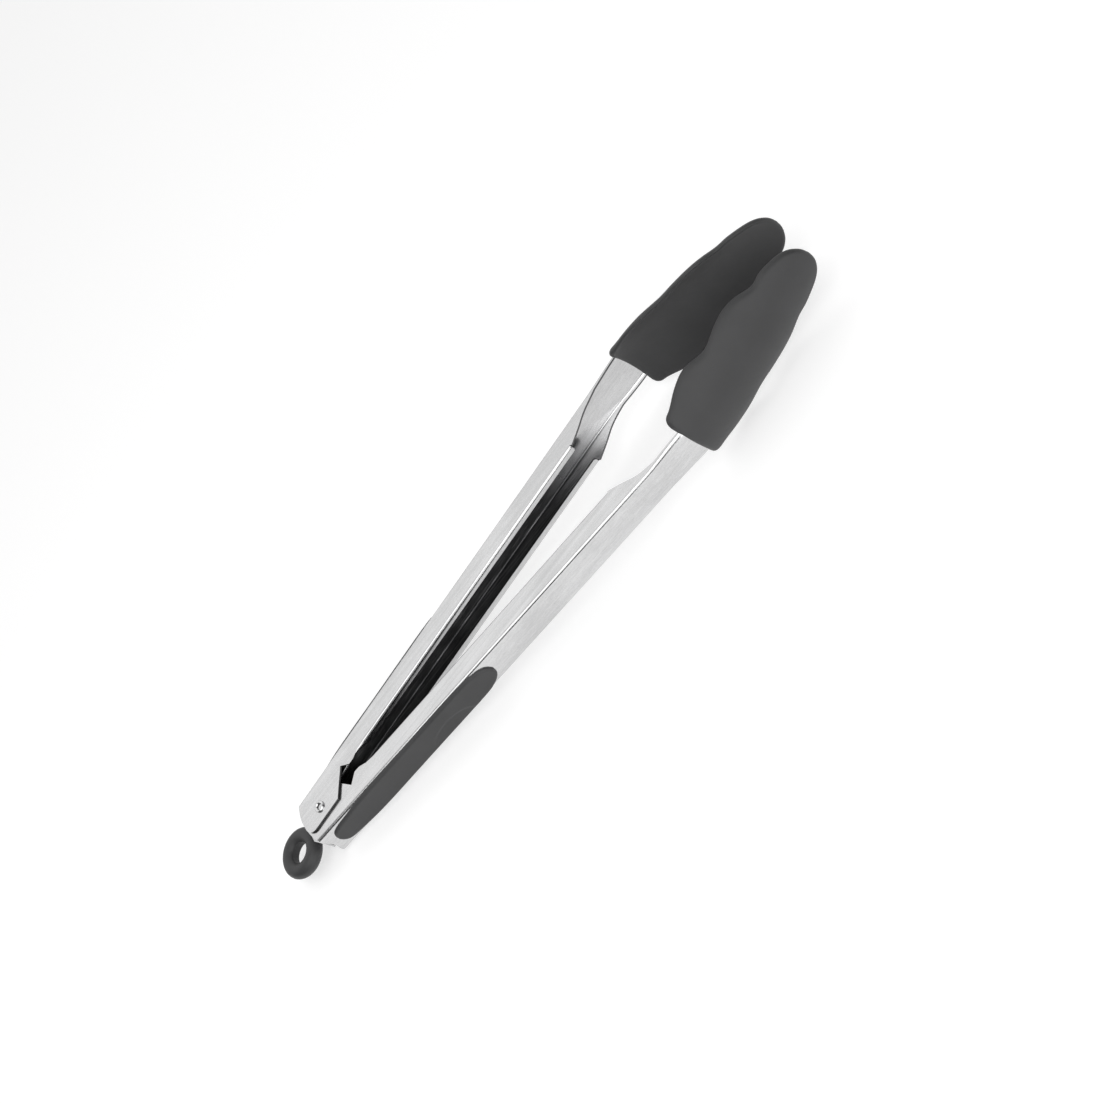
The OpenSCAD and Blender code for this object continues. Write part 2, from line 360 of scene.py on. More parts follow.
def spline(points, steps):
    """A smooth curve through points, with steps spans between each pair."""
    made = []
    last = len(points) - 1
    for i in range(last):
        p0, p1, p2, p3 = (Vector(points[min(last, max(0, i + k))]) for k in (-1, 0, 1, 2))
        for k in range(steps):
            t = k / steps
            made.append(0.5 * (2 * p1 + (p2 - p0) * t + (2 * p0 - 5 * p1 + 4 * p2 - p3) * t ** 2
                               + (3 * p1 - p0 - 3 * p2 + p3) * t ** 3))
    return made + [Vector(points[last])]


def ease_ends(count, power=1.0):
    """count + 1 shares from 0 to 1, closer together at both ends."""
    shares = []
    for i in range(count + 1):
        even = i / count
        round_end = 0.5 - 0.5 * math.cos(math.pi * even)
        shares.append(even * (1 - power) + round_end * power)
    return shares


def on_arm(side):
    """From an arm's own frame to the row frame."""
    turn = Matrix.Rotation(side * settings().arms.half_angle, 4, "Z")
    return turn @ Matrix.Scale(-1, 4, (0, 1, 0)) if side == INNER else turn


def make(name, verts, faces, place=None):
    """A mesh object at the origin with its place in its vertices and its faces pointing out."""
    mesh = bpy.data.meshes.new(name)
    mesh.from_pydata([tuple(v) for v in verts], [], faces)
    if place is not None:
        mesh.transform(place)
        if place.determinant() < 0:
            mesh.flip_normals()
    for face in mesh.polygons:
        face.use_smooth = True
    mesh.validate()
    made = bpy.data.objects.new(name, mesh)
    bpy.context.scene.collection.objects.link(made)
    return made


def grid_faces(rows, columns, start=0):
    faces = []
    for i in range(rows - 1):
        a = start + i * columns
        b = a + columns
        faces += [(a + j, a + j + 1, b + j + 1, b + j) for j in range(columns - 1)]
    return faces


def face_out(made):
    """Recalculates the normals of a closed mesh, after merging doubles."""
    work = bmesh.new()
    work.from_mesh(made.data)
    bmesh.ops.remove_doubles(work, verts=work.verts, dist=1e-7)
    bmesh.ops.recalc_face_normals(work, faces=work.faces)
    work.to_mesh(made.data)
    work.free()


def settle(made):
    """Applies a piece's modifiers to its mesh."""
    depsgraph = bpy.context.evaluated_depsgraph_get()
    plain = bpy.data.meshes.new_from_object(made.evaluated_get(depsgraph))
    made.modifiers.clear()
    old = made.data
    made.data = plain
    bpy.data.meshes.remove(old)


def lathe(name, profile, steps, place=None):
    """Turns a closed profile of (radius, z) points round the Z axis."""
    verts = []
    for i in range(steps):
        turn = 2 * math.pi * i / steps
        verts += [(r * math.cos(turn), r * math.sin(turn), z) for r, z in profile]
    count = len(profile)
    faces = []
    for i in range(steps):
        a, b = i * count, (i + 1) % steps * count
        faces += [(a + j, a + (j + 1) % count, b + (j + 1) % count, b + j) for j in range(count)]
    made = make(name, verts, faces, place)
    face_out(made)
    return made


def dress(made, material, slot, body, *nodes):
    """Gives a finished piece its material and its body, and hides the CAD nodes it stands for; slot is not
    used.
    """
    if material:
        made.data.materials.clear()
        made.data.materials.append(material)
    if nodes:
        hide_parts(*nodes)
    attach(made, body)


def arc(middle, radius, start, end, steps):
    """Points on an arc, with both ends."""
    return [
        (middle[0] + radius * math.cos(start + (end - start) * i / steps),
         middle[1] + radius * math.sin(start + (end - start) * i / steps))
        for i in range(steps + 1)
    ]


# ---------------------------------------------------------------- the head's shape

# Half of a head's outline, as shares of its length and of its half width: three lobes to a round tip.
HEAD_LOBES = [(0, 0.8), (0.06, 0.83), (0.16, 0.955), (0.26, 1), (0.38, 0.88), (0.48, 0.935), (0.57, 0.955),
              (0.65, 0.89), (0.735, 0.735), (0.8, 0.73), (0.86, 0.67), (0.92, 0.575), (0.96, 0.445),
              (0.985, 0.285), (0.996, 0.15), (1, 0)]
BASE_CORNER = 3.2 * MM


def head_edge(inset=0.0):
    """Half of a head's outline as (along, half width) points, in from the edge by inset."""
    sizes = settings().heads
    points = [(s * (sizes.head_len - inset), max(0.0, w * sizes.half_w - (inset if s < 1 else 0)))
              for s, w in HEAD_LOBES]
    edge = spline(points, 8)
    corner = [(u, w - BASE_CORNER * (1 - math.sqrt(1 - (1 - u / BASE_CORNER) ** 2)))
              for u, w in edge if u < BASE_CORNER]
    return [Vector(p) for p in corner] + [p for p in edge if p[0] >= BASE_CORNER]


def head_point(u, z, depth):
    """A point under the dished and bowed back of a head, in the arm's own frame."""
    sizes = settings().heads
    arms = settings().arms
    across = sizes.bow_r - sizes.dish_r + math.sqrt(sizes.dish_r ** 2 - z * z) - depth
    v = math.sqrt(across ** 2 - u * u) - sizes.bow_r
    c, s = math.cos(sizes.lean), math.sin(sizes.lean)
    return Vector((arms.shank_len + u * c + v * s, arms.spine_off - u * s + v * c, z))


def nearest(point, edge):
    """Distance from a point to a chain of points."""
    best = 1.0
    for a, b in zip(edge, edge[1:]):
        run = b - a
        t = max(0.0, min(1.0, (point - a).dot(run) / max(run.length_squared, 1e-18)))
        best = min(best, (point - a - run * t).length)
    return best


# ---------------------------------------------------------------- operators

class TONGS_OT_arms(bpy.types.Operator):
    """Both arms: one bent sheet each, with ears, a notch, turned-in lips, a swept neck and a blade"""
    bl_idname = "tongs.arms"
    bl_label = "Arms"

    def execute(self, context):
        look = settings().finishes
        outside = polished_steel(look, "polished_steel")
        # Painted shade: the channel material darkens the inside of each channel, except where light gets
        # into the neck.
        inside = polished_steel(look, "channel_steel", shaded=True)
        # Painted shade: the sheet's cut edges are painted near black to stand for the shadowed gap between
        # the cheeks.
        cut = rolled_steel(look, "cut_edge_steel", 0.22, 0.30, 0.45)
        for side in (OUTER, INNER):
            arm = arm_sheet(side, (outside, inside, cut))
            dress(arm, None, "steel", ARM_BODY[side], ARM_NAME[side] + "_arm")
        return {"FINISHED"}


# The cheeks' edge round the rivet, in mm: the round ear, its front slope, the notch and the step up.
EAR_AND_NOTCH = [(-11.2, -2), (-10.9, -3.3), (-10.2, -4.5), (-9.1, -5.4), (-7.4, -6), (9.2, -6), (12.6, -2),
                 (18.2, 4.2), (22.2, 0.5), (25, 0.5)]
# The cheeks' edge from the lips' end towards the head, in mm from that end.
NECK_SWEEP = [(0, 0), (6.2, 2.6), (13.2, 5.9), (22, 8)]
NECK_RISE = 8.2 * MM
# Extra cross sections round the rivet, in mm, and towards the head, in mm before the head.
PIVOT_SECTIONS = (-5, -3, 0, 3, 6, 8, 11, 14.5, 16.4, 17.6, 18.8, 20, 21, 23.5, 26, 27.5, 28.2)
NECK_SECTIONS = (14, 12, 10, 8, 6, 4, 3, 2, 1)
LIP_END_SECTIONS = (3, 1.4, 0.7)
SHANK_SECTIONS = 34


def free_edge(sizes):
    """The cheeks' edge as (x, y) points: round ears, the notch, the long edge and the sweep to the head."""
    knuckle = sizes.shank_len - sizes.neck_len
    low = sizes.edge_off
    sweep = spline([(x * MM, y * MM) for x, y in NECK_SWEEP], 5)
    return ([(x * MM, y * MM) for x, y in EAR_AND_NOTCH] + [(lip_from(sizes), low)]
            + [(knuckle + x, low + y) for x, y in sweep] + [(sizes.shank_len, low + NECK_RISE)])


def lip_from(sizes):
    return sizes.lip_start + 2 * MM


def arm_stations(sizes, edge):
    """Where the sheet's cross sections lie: at each corner of the edge and between them."""
    knuckle = sizes.shank_len - sizes.neck_len
    closest = 0.2 * MM
    start = lip_from(sizes)
    marks = [point[0] for point in edge]
    pivot = [x * MM for x in PIVOT_SECTIONS]
    shank = [start + (knuckle - start) * i / SHANK_SECTIONS for i in range(SHANK_SECTIONS + 1)]
    lip_end = [knuckle - d * MM for d in LIP_END_SECTIONS]
    neck = [sizes.shank_len - d * MM for d in NECK_SECTIONS]
    stations = sorted(set(round(x, 6) for x in marks + pivot + shank + lip_end + neck))
    return [x for i, x in enumerate(stations) if i == 0 or x - stations[i - 1] > closest]


def tail_x(sizes, y, z):
    """The tail end of the sheet: rounded down the cheeks, its spine scooped and its corners cut off."""
    corner_cut, scoop_depth = 1.3 * MM, 1.7 * MM
    corner_middle, corner_reach, scoop_edge = 0.86, 0.34, 0.70
    share = max(0.0, min(1.0, (sizes.spine_off - y) / (sizes.spine_off * 0.75)))
    reach = sizes.tail_len + (sizes.cheek_tail - sizes.tail_len) * math.sin(share * math.pi / 2)
    across = abs(z) / (sizes.outer_w / 2)
    corner = max(0.0, 1 - abs(across - corner_middle) / corner_reach)
    scoop = max(0.0, 1 - (across / scoop_edge) ** 2)
    return (corner_cut * corner + scoop_depth * scoop) * (1 - share) - reach


def arm_section(sizes, width, x, edge, lip):
    """Half a cross section, from the cheek's free edge up round the bend to the spine's middle."""
    flare = sizes.flare * ease(x, sizes.shank_len - 22 * MM, sizes.shank_len)
    half = width / 2
    low = along(edge, x) + sizes.lip_r * lip
    bend_y = sizes.spine_off - sizes.bend_r
    cheek_rows = 9
    cheek = [(low + (bend_y - low) * i / cheek_rows, half) for i in range(cheek_rows)]
    bend = arc((bend_y, half - sizes.bend_r), sizes.bend_r, math.pi / 2, 0, 7)
    spine = [(sizes.spine_off, (half - sizes.bend_r) * (1 - i / 4)) for i in range(1, 5)]
    crown = 0.25 * MM
    points = []
    for y, z in cheek + bend + spine:
        lean_out = flare * (1 + (sizes.spine_off - y) / (6 * MM)) * z / half
        points.append((y - crown * flare / sizes.flare * (z / half) ** 2, z + lean_out))
    return points


def lip_share(sizes, x):
    """How far the lip has turned in at x, from 0 to 1, or None where there is no lip."""
    knuckle = sizes.shank_len - sizes.neck_len
    if x < sizes.lip_start or x > knuckle:
        return None
    lead, least = 5 * MM, 0.12
    start = ease(x, sizes.lip_start, sizes.lip_start + lead)
    end = 1 - ease(x, knuckle - 1.2 * MM, knuckle + 0.4 * MM)
    return max(least, start * end)


def arm_sheet(side, materials):
    """One arm as a bent sheet: its channel row by row, then the blade that the channel flattens into."""
    sizes = settings().arms
    heads = settings().heads
    width = sizes.outer_w if side == OUTER else sizes.inner_w
    edge = free_edge(sizes)
    stations = arm_stations(sizes, edge)
    turning = PIVOT_SECTIONS[0] * MM
    verts, shares = [], []
    for x in stations:
        share = lip_share(sizes, x)
        half = arm_section(sizes, width, x, edge, share or 0.0)
        section = half + [(y, -z) for y, z in reversed(half[:-1])]
        for y, z in section:
            along_tail = min(1.0, max(0.0, (x + sizes.cheek_tail) / (turning + sizes.cheek_tail)))
            slanted = tail_x(sizes, y, z) * (1 - along_tail) + turning * along_tail
            verts.append((x if x > turning else slanted, y, z))
        shares.append(share)
    columns = len(section)
    neck = [Vector((0, y, z)) for y, z in section]
    steps = [(a - b).length for a, b in zip(neck, neck[1:])]
    spread = [2 * sum(steps[:j]) / sum(steps) - 1 for j in range(columns)]
    blade_edge = head_edge(heads.blade_inset)
    blade_len = blade_edge[-1][0]
    plain_edge = [tuple(p) for p in blade_edge]
    blade_start, blade_gap, flat_from = 1.5 * MM, 0.4 * MM, 7 * MM
    for share in ease_ends(26, 0.8)[1:]:
        u = blade_start + (blade_len - blade_start - blade_gap) * share
        wide = along(plain_edge, u)
        blended = ease(u, 0, flat_from)
        for place_on, (y, z) in zip(spread, section):
            flat = head_point(u, -place_on * wide, 0)
            start = Vector((sizes.shank_len + u, y - u * math.tan(heads.lean), z))
            verts.append(tuple(start.lerp(flat, blended)))
        shares.append(None)
    rows = len(shares)
    faces = [face[::-1] for face in grid_faces(rows, columns)]
    lip_rows(sizes, width, stations, shares, edge, columns, verts, faces)
    arm = make(ARM_NAME[side] + "_arm_steel", verts, faces, on_arm(side))
    for material in materials:
        arm.data.materials.append(material)
    thick = arm.modifiers.new("sheet", "SOLIDIFY")
    # The inner faces take the channel material with its painted shade.
    thick.material_offset = 1
    # The rim faces take the cut edge material, painted shade for the gap along the sheet's edges.
    thick.material_offset_rim = 2
    thick.thickness = sizes.sheet_t
    thick.offset = -1
    thick.use_even_offset = True
    soften = arm.modifiers.new("edges", "BEVEL")
    soften.width = 0.16 * MM
    soften.segments = 2
    soften.limit_method = "ANGLE"
    soften.angle_limit = math.radians(48)
    soften.harden_normals = True
    settle(arm)
    return arm


def lip_rows(sizes, width, stations, shares, edge, columns, verts, faces):
    """Adds the turned-in lips to both free edges."""
    bend_steps, flat_steps = 4, 2
    for z_side, column in ((1, 0), (-1, columns - 1)):
        previous = None
        for i, x in enumerate(stations):
            if shares[i] is None:
                previous = None
                continue
            share = shares[i]
            radius = sizes.lip_r * share
            low = along(edge, x)
            half = width / 2
            bend = arc((low + radius, half - radius), radius, math.pi / 2, math.pi, bend_steps)[1:]
            reach = max(radius + 0.1 * MM, sizes.lip_w * share)
            flat = [(low, half - radius - (reach - radius) * k / flat_steps)
                    for k in range(1, flat_steps + 1)]
            row = [i * columns + column]
            for y, z in bend + flat:
                row.append(len(verts))
                verts.append((x, y, z * z_side))
            if previous:
                for j in range(len(row) - 1):
                    face = (previous[j], previous[j + 1], row[j + 1], row[j])
                    faces.append(face if z_side > 0 else face[::-1])
            previous = row


class TONGS_OT_head_covers(bpy.types.Operator):
    """Both silicone head covers: dished, bowed, scalloped sleeves with round rims"""
    bl_idname = "tongs.head_covers"
    bl_label = "Head covers"

    def execute(self, context):
        silicone = moulded_silicone("head_silicone", settings().finishes.silicone)
        for side in (OUTER, INNER):
            cover = head_cover(side)
            dress(cover, silicone, "head_silicone", ARM_BODY[side], ARM_NAME[side] + "_head_cover")
        return {"FINISHED"}


def head_cover(side):
    """A pillow as thick as the cover whose faces meet in a half-round rim at the outline."""
    sizes = settings().heads
    sheet = settings().arms.sheet_t
    edge = head_edge()
    outline = [Vector((0, 0))] + edge
    plain = [tuple(p) for p in edge]
    half_t = sheet / 2 + sizes.skin_t
    middle = sheet / 2
    collar_rise, collar_from, collar_to = 0.28, 1.5 * MM, 9 * MM
    stations = [s * sizes.head_len for s in ease_ends(72, 0.75)]
    stations[-1] = sizes.head_len - 0.02 * MM
    across = [2 * s - 1 for s in ease_ends(34, 0.85)]
    top, bottom = [], []
    for u in stations:
        wide = along(plain, u)
        for share in across:
            z = share * wide
            distance = nearest(Vector((u, abs(z))), outline)
            collar = 1 + collar_rise * (1 - ease(u, collar_from, collar_to))
            depth = half_t * collar
            reach = min(1.0, distance / depth)
            puff = depth * math.sqrt(max(0.0, 1 - (1 - reach) ** 2))
            top.append(head_point(u, z, middle - puff))
            bottom.append(head_point(u, z, middle + puff))
    rows, columns = len(stations), len(across)
    verts = top + bottom
    faces = grid_faces(rows, columns)
    faces += [face[::-1] for face in grid_faces(rows, columns, start=len(top))]
    cover = make(ARM_NAME[side] + "_head_cover_silicone", verts, faces, on_arm(side))
    face_out(cover)
    return cover


class TONGS_OT_grips(bpy.types.Operator):
    """Both silicone grips: long pads with domed edges and a thumb crescent"""
    bl_idname = "tongs.grips"
    bl_label = "Grips"

    def execute(self, context):
        silicone = moulded_silicone("grip_silicone", settings().finishes.silicone)
        for side in (OUTER, INNER):
            pad = grip_pad(side)
            dress(pad, silicone, "grip_silicone", ARM_BODY[side], ARM_NAME[side] + "_grip")
        return {"FINISHED"}


GRIP_SHAPE = [(0, 0), (0.008, 0.38), (0.03, 0.66), (0.09, 0.82), (0.25, 1), (0.5, 1),
              (0.85, 1), (0.94, 0.85), (0.985, 0.5), (1, 0)]


def grip_pad(side):
    """A long pad seated on an arm's spine and its bends, with a domed edge."""
    arms = settings().arms
    sizes = settings().grips
    width = arms.outer_w if side == OUTER else arms.inner_w
    widest = width / 2 - 0.5 * MM
    sunk = 0.12 * MM
    edge = spline([(s * sizes.grip_len, w * widest) for s, w in GRIP_SHAPE], 8)
    edge = [Vector((p[0], max(0.0, p[1]))) for p in edge]
    plain = [tuple(p) for p in edge]
    stations = [s * sizes.grip_len for s in ease_ends(190, 0.7)]
    stations[-1] = sizes.grip_len - 0.01 * MM
    across = [2 * s - 1 for s in ease_ends(40, 0.7)]
    top, bottom = [], []
    flat = width / 2 - arms.bend_r
    for u in stations:
        wide = along(plain, u)
        for share in across:
            z = share * wide
            over = max(0.0, abs(z) - flat)
            seat = arms.spine_off - arms.bend_r + math.sqrt(arms.bend_r ** 2 - over ** 2)
            distance = nearest(Vector((u, abs(z))), edge)
            reach = min(1.0, distance / sizes.edge_r)
            puff = sizes.grip_t * math.sqrt(max(0.0, 1 - (1 - reach) ** 2))
            puff -= thumb_scoop(u, z) * ease(distance, 0.3 * MM, 1.2 * MM)
            top.append((u - sizes.grip_back, seat + puff, z))
            bottom.append((u - sizes.grip_back, seat - sunk, z))
    rows, columns = len(stations), len(across)
    faces = grid_faces(rows, columns)
    faces += [face[::-1] for face in grid_faces(rows, columns, start=len(top))]
    verts = top + bottom
    rim = ([j for j in range(columns)] + [i * columns + columns - 1 for i in range(1, rows)]
           + [(rows - 1) * columns + j for j in range(columns - 2, -1, -1)]
           + [i * columns for i in range(rows - 2, 0, -1)])
    under = len(top)
    for a, b in zip(rim, rim[1:] + rim[:1]):
        faces.append((a, b, b + under, a + under))
    pad = make(ARM_NAME[side] + "_grip_silicone", verts, faces, on_arm(side))
    face_out(pad)
    return pad


SCOOP_PLACE = (70 * MM, -6 * MM)
SCOOP_SIZE = (12 * MM, 6.3 * MM)
SCOOP_DEPTH = 0.42 * MM


def thumb_scoop(u, z):
    """Depth of the shallow oval hollow for a thumb at one side of a grip."""
    outward = math.hypot((u - SCOOP_PLACE[0]) / SCOOP_SIZE[0], (z - SCOOP_PLACE[1]) / SCOOP_SIZE[1])
    return SCOOP_DEPTH * (1 - ease(outward, 0.88, 1.04)) * (0.6 + 0.4 * min(1.0, outward))


class TONGS_OT_rivet(bpy.types.Operator):
    """The hollow pivot rivet with its two rolled heads"""
    bl_idname = "tongs.rivet"
    bl_label = "Rivet"

    def execute(self, context):
        sizes = settings().pivot
        low = settings().arms.outer_w / 2 + 0.05 * MM
        dish = 0.22 * MM
        roll = 0.35 * MM
        crown = low + sizes.head_h
        roll_middle = (sizes.head_r - roll, low + sizes.head_h * 0.42)
        top = [(sizes.rivet_r, low), (sizes.head_r - 0.1 * MM, low)]
        top += arc(roll_middle, roll, -0.9, 1.4, 6)
        top += [
            (sizes.rivet_r + 0.1 * MM, crown),
            (sizes.rivet_r - roll, crown - dish * 0.3),
            (sizes.bore_r + 0.25 * MM, crown - dish * 1.6),
            (sizes.bore_r, crown - dish * 3),
        ]
        profile = top + [(r, -z) for r, z in reversed(top)]
        rivet = lathe("pivot_rivet_rolled", profile, 64)
        # The bore radius gives the rivet painted shade in and round its hole.
        material = rolled_steel(settings().finishes, "rivet_steel", 1.15, 0.10, 0.24, sizes.bore_r)
        dress(rivet, material, "rivet_steel", ARM_BODY[OUTER], "pivot_rivet")
        return {"FINISHED"}


class TONGS_OT_ring(bpy.types.Operator):
    """The silicone pull ring, with a flat band round its hole and a fine parting line"""
    bl_idname = "tongs.ring"
    bl_label = "Pull ring"

    def execute(self, context):
        sizes = settings().pivot
        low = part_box("pull_ring")[0]
        middle = Vector((low[0] + sizes.ring_r + sizes.tube_r, 0, 0))
        band = sizes.hang_r - sizes.ring_r
        reach = math.acos(band / sizes.tube_r)
        round_part = arc((sizes.ring_r, 0), sizes.tube_r, -reach, reach, 44)
        seam_h, seam_half_w = 0.05 * MM, 0.14 * MM
        profile = []
        for r, z in round_part:
            seam = seam_h * max(0.0, 1 - abs(z) / seam_half_w) if r > sizes.ring_r else 0.0
            profile.append((r + seam, z))
        top_z = profile[-1][1]
        hole = [(sizes.hang_r + 0.02 * MM, top_z * share) for share in (0.8, 0.4, 0.0, -0.4, -0.8)]
        ring = lathe("pull_ring_silicone", profile + hole, 112, Matrix.Translation(middle))
        silicone = moulded_silicone("ring_silicone", settings().finishes.ring, 0.7)
        dress(ring, silicone, "ring_silicone", "lock_body", "pull_ring")
        return {"FINISHED"}


class Flow(Graph):
    """A Geometry Nodes tree with named inputs."""

    def __init__(self, name, **inputs):
        super().__init__(bpy.data.node_groups.new(name, "GeometryNodeTree"))
        self.tree.is_modifier = True
        for title, kind in inputs.items():
            self.tree.interface.new_socket(title.replace("_", " "), in_out="INPUT", socket_type=kind)
        self.tree.interface.new_socket("Geometry", in_out="OUTPUT", socket_type="NodeSocketGeometry")
        self.entry = self.tree.nodes.new("NodeGroupInput")

    def given(self, title):
        return Value(self, self.entry.outputs[title])

    def end(self, geometry, material):
        """Realize Instances and Set Material, then the group's output."""
        smooth = self.node("GeometryNodeSetShadeSmooth", None, {0: geometry})
        real = self.node("GeometryNodeRealizeInstances", None, {0: smooth})
        inputs = {"Geometry": real, "Material": material}
        painted = self.node("GeometryNodeSetMaterial", None, inputs)
        self.node("NodeGroupOutput", None, {0: painted}, None)
        return self.tree


def grown(name, tree, **values):
    """A plain mesh object made by a Geometry Nodes tree, its inputs set by socket identifier."""
    made = make(name, [], [])
    modifier = made.modifiers.new("form", "NODES")
    modifier.node_group = tree
    sockets = {item.name: item.identifier for item in tree.interface.items_tree if item.in_out == "INPUT"}
    for title, value in values.items():
        modifier[sockets[title.replace("_", " ")]] = value
    made.update_tag()
    settle(made)
    return made


def wire_tree():
    """Wire along a straight leg that runs into a helix: the path follows the distance from the free end."""
    number = "NodeSocketFloat"
    flow = Flow("wire", Wire_radius=number, Coil_radius=number, Pitch=number, Leg=number, Sense=number,
                First_angle=number, First_height=number, Turns=number, Points="NodeSocketInt",
                Sides="NodeSocketInt", Material="NodeSocketMaterial")
    radius, leg, sense = flow.given("Coil radius"), flow.given("Leg"), flow.given("Sense")
    first, turns = flow.given("First angle"), flow.given("Turns")
    line = flow.node("GeometryNodeCurvePrimitiveLine", None, {"End": (0, 0, 1)})
    line = flow.node("GeometryNodeResampleCurve", None, {"Curve": line, "Count": flow.given("Points")})
    share = flow.node("GeometryNodeSplineParameter")
    travelled = share * (leg + turns * radius * (2 * math.pi)) - leg
    turned = travelled.most(0.0) / radius
    angle = first + turned * sense
    run = travelled.least(0.0) * sense
    x = radius * flow.node("ShaderNodeMath", {"operation": "COSINE"}, {0: angle})
    y = radius * flow.node("ShaderNodeMath", {"operation": "SINE"}, {0: angle})
    x = x - run * flow.node("ShaderNodeMath", {"operation": "SINE"}, {0: first})
    y = y + run * flow.node("ShaderNodeMath", {"operation": "COSINE"}, {0: first})
    z = flow.given("First height") - turned * sense * flow.given("Pitch") / (2 * math.pi)
    spot = flow.node("ShaderNodeCombineXYZ", None, {0: x, 1: y, 2: z})
    path = flow.node("GeometryNodeSetPosition", None, {"Geometry": line, "Position": spot})
    sides = {"Resolution": flow.given("Sides"), "Radius": flow.given("Wire radius")}
    loop = flow.node("GeometryNodeCurvePrimitiveCircle", None, sides)
    swept = {"Curve": path, "Profile Curve": loop, "Fill Caps": True}
    return flow.end(flow.node("GeometryNodeCurveToMesh", None, swept), flow.given("Material"))


class TONGS_OT_spring(bpy.types.Operator):
    """The torsion spring: a coil round the rivet and one straight leg along each arm"""
    bl_idname = "tongs.spring"
    bl_label = "Spring"

    def execute(self, context):
        arms = settings().arms
        sizes = settings().pivot
        wire = rolled_steel(settings().finishes, "spring_steel", 0.92, 0.16, 0.30)
        pitch = 2 * sizes.wire_r + 0.1 * MM
        height = pitch * sizes.coil_turns
        leg_y = arms.spine_off - arms.sheet_t - sizes.wire_r - 0.3 * MM
        lean = math.atan2(leg_y - sizes.coil_r, sizes.leg_len)
        quarter = math.pi / 2
        first = quarter + arms.half_angle + lean
        last = quarter + 2 * math.pi * sizes.coil_turns - arms.half_angle - lean
        full_turn = 2 * math.pi
        overlap = math.radians(40)
        coil = (last - first - 2 * overlap) / full_turn
        leg_turn = 0.22
        # The coil's wire is a hair thinner, so that its ends lie inside the legs' wire.
        thin = 0.985
        tree = wire_tree()
        # name, body, share of the wire's radius, leg, sense, start, turns, points
        parts = [
            ("spring_coil", "spring_body", thin, 0.0, 1.0, first + overlap, coil, 230),
            ("spring_leg_outer", ARM_BODY[OUTER], 1.0, sizes.leg_len, 1.0, first, leg_turn, 90),
            ("spring_leg_inner", ARM_BODY[INNER], 1.0, sizes.leg_len, -1.0, last, leg_turn, 90),
        ]
        for name, body, share, leg, sense, start, turns, points in parts:
            spot = height * 0.5 - pitch * (start - quarter) / full_turn
            made = grown(
                name, tree, Wire_radius=sizes.wire_r * share, Coil_radius=sizes.coil_r, Pitch=pitch,
                Leg=leg, Sense=sense, First_angle=start, First_height=spot, Turns=turns,
                Points=points, Sides=16, Material=wire)
            dress(made, wire, "spring_steel", body, "torsion_spring")
        return {"FINISHED"}


class TONGS_OT_lock_bar(bpy.types.Operator):
    """The steel of the lock's sliding bar"""
    bl_idname = "tongs.lock_bar"
    bl_label = "Lock bar"

    def execute(self, context):
        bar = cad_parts["lock_bar"]
        bar.data.materials.clear()
        bar.data.materials.append(rolled_steel(settings().finishes, "lock_steel", 0.96, 0.18, 0.30))
        return {"FINISHED"}


class TONGS_OT_stage(bpy.types.Operator):
    """A pale floor, soft studio light and the camera"""
    bl_idname = "tongs.stage"
    bl_label = "Stage"

    def execute(self, context):
        look = settings().finishes
        scene = context.scene
        floor = stage_floor(look)
        # name, place, target, width in metres, power in watts
        lamps = [
            soft_lamp("key_light", (0.42, -1.00, 0.14), (0.16, 0, 0), 1.2, 6.8),
            soft_lamp("top_light", (0.08, -0.44, 0.80), (0.14, 0, 0), 1.1, 5.2),
        ]
        scene.world = sky()
        camera = stage_camera()
        scene.camera = camera
        scene.view_settings.view_transform = "Standard"
        return {"FINISHED"}


def stage_floor(look):
    """A wide floor under the heads and the rivet, tilted as the tongs lie."""
    under, tilt, reach = (0.115, 0, -14.8 * MM), math.radians(2.8), 6.0
    low = Matrix.Translation(under) @ Matrix.Rotation(tilt, 4, "Y")
    corners = [(-reach, -reach, 0), (reach, -reach, 0), (reach, reach, 0), (-reach, reach, 0)]
    floor = make("floor", corners, [(0, 1, 2, 3)], low)
    shade = Shade("floor_card")
    cloud = shade.noise(shade.place(), 3.0, 2.0)
    base = shade.mix(cloud, rgba(look.floor, 0.99), rgba(look.floor, 1.01))
    grain = shade.noise(shade.place(), 1400.0, 2.0)
    normal = shade.bump(grain, 0.05, 0.0001)
    floor.data.materials.append(
        shade.finish({"Base Color": base, "Roughness": cloud * 0.1 + 0.75, "Normal": normal,
                      "Emission Color": (1, 1, 1, 1), "Emission Strength": 0.52}))
    return floor


def soft_lamp(name, place, target, size, power):
    lamp = bpy.data.lights.new(name, "AREA")
    lamp.shape = "DISK"
    lamp.size = size
    lamp.energy = power
    made = bpy.data.objects.new(name, lamp)
    bpy.context.scene.collection.objects.link(made)
    made.location = place
    made.rotation_euler = (Vector(target) - Vector(place)).to_track_quat("-Z", "Y").to_euler()
    return made


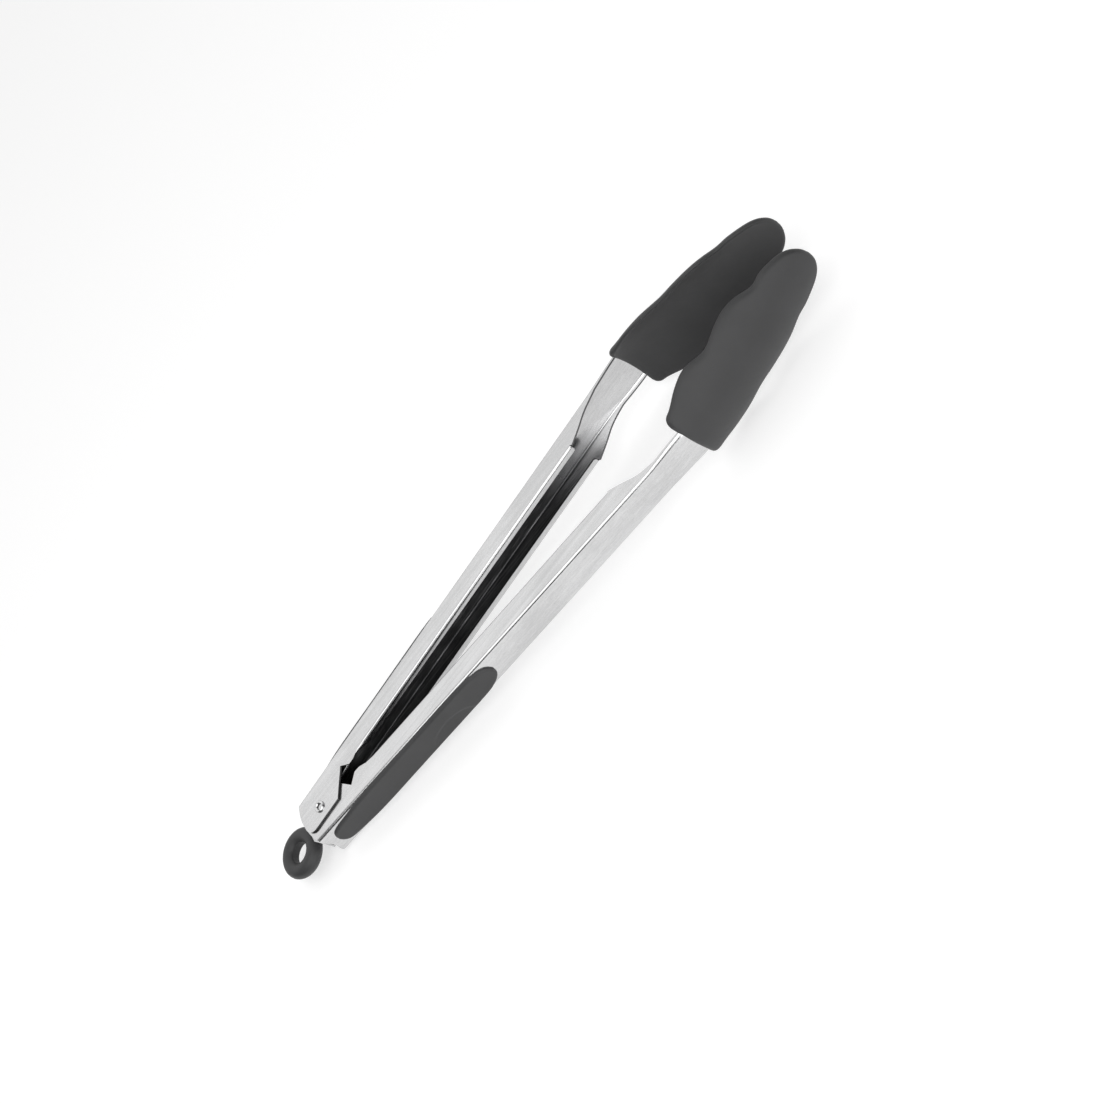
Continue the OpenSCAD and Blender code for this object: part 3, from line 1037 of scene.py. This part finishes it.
def sky():
    """Studio light that comes from above and behind, seen by the camera as plain white."""
    world = bpy.data.worlds.new("studio")
    world.use_nodes = True
    graph = Graph(world.node_tree)
    heading = graph.node("ShaderNodeTexCoord")
    height = graph.node("ShaderNodeSeparateXYZ", None, {0: heading}, 2)
    behind = graph.node("ShaderNodeSeparateXYZ", None, {0: heading}, 1)
    open_sky = height.rise(0.02, 0.35)
    strength = (behind.rise(-0.25, 0.50) * 0.98 + 0.10) * (open_sky * 0.75 + 0.25)
    seen_by_camera = graph.node("ShaderNodeLightPath")
    strength = strength.most(seen_by_camera)
    light = graph.node("ShaderNodeBackground", None, {"Color": (1, 1, 1, 1), "Strength": strength})
    graph.node("ShaderNodeOutputWorld", None, {"Surface": light}, None)
    return world


def stage_camera():
    sizes = settings().stage
    data = bpy.data.cameras.new("camera")
    data.lens = sizes.lens
    data.sensor_width = 36
    data.clip_start = 0.01
    camera = bpy.data.objects.new("camera", data)
    bpy.context.scene.collection.objects.link(camera)
    a, e = sizes.azimuth, sizes.elevation
    back = Vector((math.sin(a) * math.cos(e), -math.cos(a) * math.cos(e), math.sin(e)))
    level = (-back).to_track_quat("-Z", "Y").to_matrix().to_4x4()
    place = Matrix.Translation(Vector(sizes.aim) + back * sizes.distance)
    camera.matrix_world = place @ level @ Matrix.Rotation(sizes.roll, 4, "Z")
    return camera


class TONGS_PT_panel(bpy.types.Panel):
    """Lists the operators that build the tongs"""
    bl_idname = "TONGS_PT_panel"
    bl_label = "Kitchen Tongs"
    bl_space_type = "VIEW_3D"
    bl_region_type = "UI"
    bl_category = "Tongs"

    def draw(self, context):
        column = self.layout.column(align=True)
        for operator in OPERATORS:
            column.operator(operator.bl_idname)


GROUPS = (ArmSizes, HeadSizes, GripSizes, PivotSizes, Finishes, StageSettings, TongsSettings)
OPERATORS = (TONGS_OT_arms, TONGS_OT_head_covers, TONGS_OT_grips, TONGS_OT_rivet, TONGS_OT_spring,
             TONGS_OT_ring, TONGS_OT_lock_bar, TONGS_OT_stage)
CLASSES = GROUPS + OPERATORS + (TONGS_PT_panel,)


def register():
    for kind in CLASSES:
        bpy.utils.register_class(kind)
    bpy.types.Scene.tongs = PointerProperty(type=TongsSettings)


def unregister():
    del bpy.types.Scene.tongs
    for kind in reversed(CLASSES):
        bpy.utils.unregister_class(kind)


def main():
    register()
    bpy.ops.tongs.arms()
    bpy.ops.tongs.head_covers()
    bpy.ops.tongs.grips()
    bpy.ops.tongs.rivet()
    bpy.ops.tongs.spring()
    bpy.ops.tongs.ring()
    bpy.ops.tongs.lock_bar()
    bpy.ops.tongs.stage()


if __name__ == "__main__":
    main()
